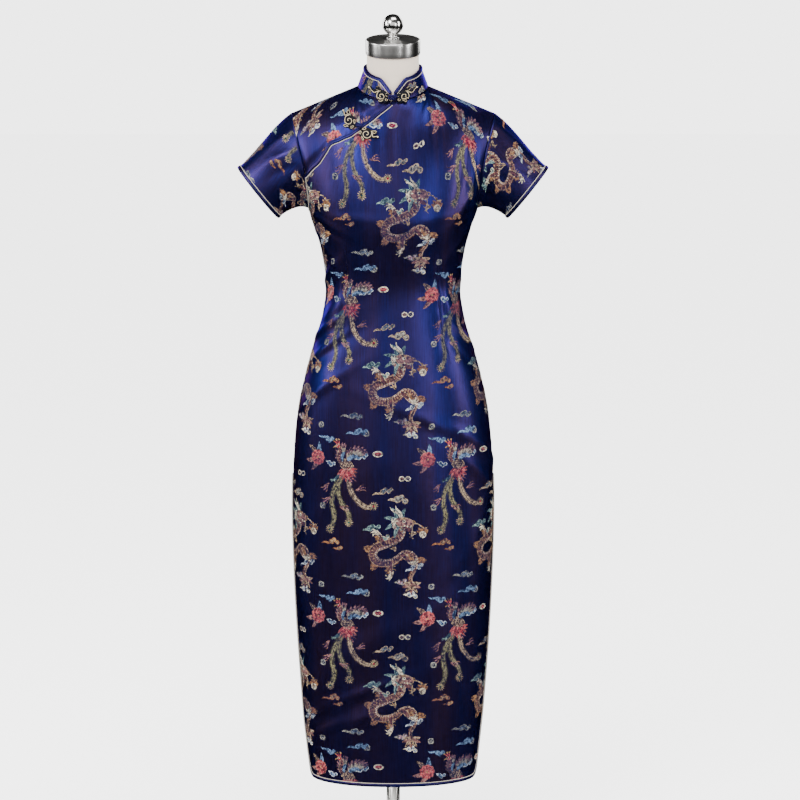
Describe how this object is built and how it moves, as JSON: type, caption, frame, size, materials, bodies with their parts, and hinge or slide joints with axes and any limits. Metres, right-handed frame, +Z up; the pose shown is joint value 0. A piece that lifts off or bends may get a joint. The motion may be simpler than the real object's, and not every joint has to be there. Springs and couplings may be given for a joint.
{
  "type": "cheongsam dress on dress form",
  "caption": "Long fitted cheongsam in navy brocade with stand collar, lapped chest opening, frog closures and side slits, on a limbless dress form with a round base.",
  "frame": {"origin": "centre of the base's underside, on the floor", "axes": "+Z up, the front of the dress faces -Y, the wearer's left is +X"},
  "size_m": [0.564, 0.34, 1.5768],
  "materials": {
    "navy_brocade": "navy satin brocade with woven motifs in gold, red, mint and cream",
    "navy_binding": "plain navy satin bias strip",
    "pale_piping": "pale beige satin cord",
    "gold_cord": "gold lurex cord",
    "black_backing": "black satin backing of the frogs",
    "cream_jersey": "stretched cream jersey cover",
    "brushed_steel": "brushed",
    "polished_steel": "polished"
  },
  "bodies": {
    "root": {"back_binding": "navy_binding", "back_panel": "navy_brocade", "back_piping": "pale_piping", "ball_finial": "polished_steel", "base": "brushed_steel", "chest_frog_lower_cord": "gold_cord", "chest_frog_lower_plate": "black_backing", "chest_frog_upper_cord": "gold_cord", "chest_frog_upper_plate": "black_backing", "chest_knot": "navy_binding", "collar": "navy_brocade", "collar_binding": "navy_binding", "collar_frog_left_cord": "gold_cord", "collar_frog_left_plate": "black_backing", "collar_frog_right_cord": "gold_cord", "collar_frog_right_plate": "black_backing", "collar_knot": "navy_binding", "collar_piping": "pale_piping", "form_torso": "cream_jersey", "front_binding": "navy_binding", "front_panel": "navy_brocade", "front_piping": "pale_piping", "neck_cap": "brushed_steel", "opening_binding": "navy_binding", "opening_piping": "pale_piping", "pole": "polished_steel", "sleeve_left": "navy_brocade", "sleeve_left_binding": "navy_binding", "sleeve_left_piping": "pale_piping", "sleeve_right": "navy_brocade", "sleeve_right_binding": "navy_binding", "sleeve_right_piping": "pale_piping", "under_panel": "navy_brocade"}
  },
  "joints": []
}
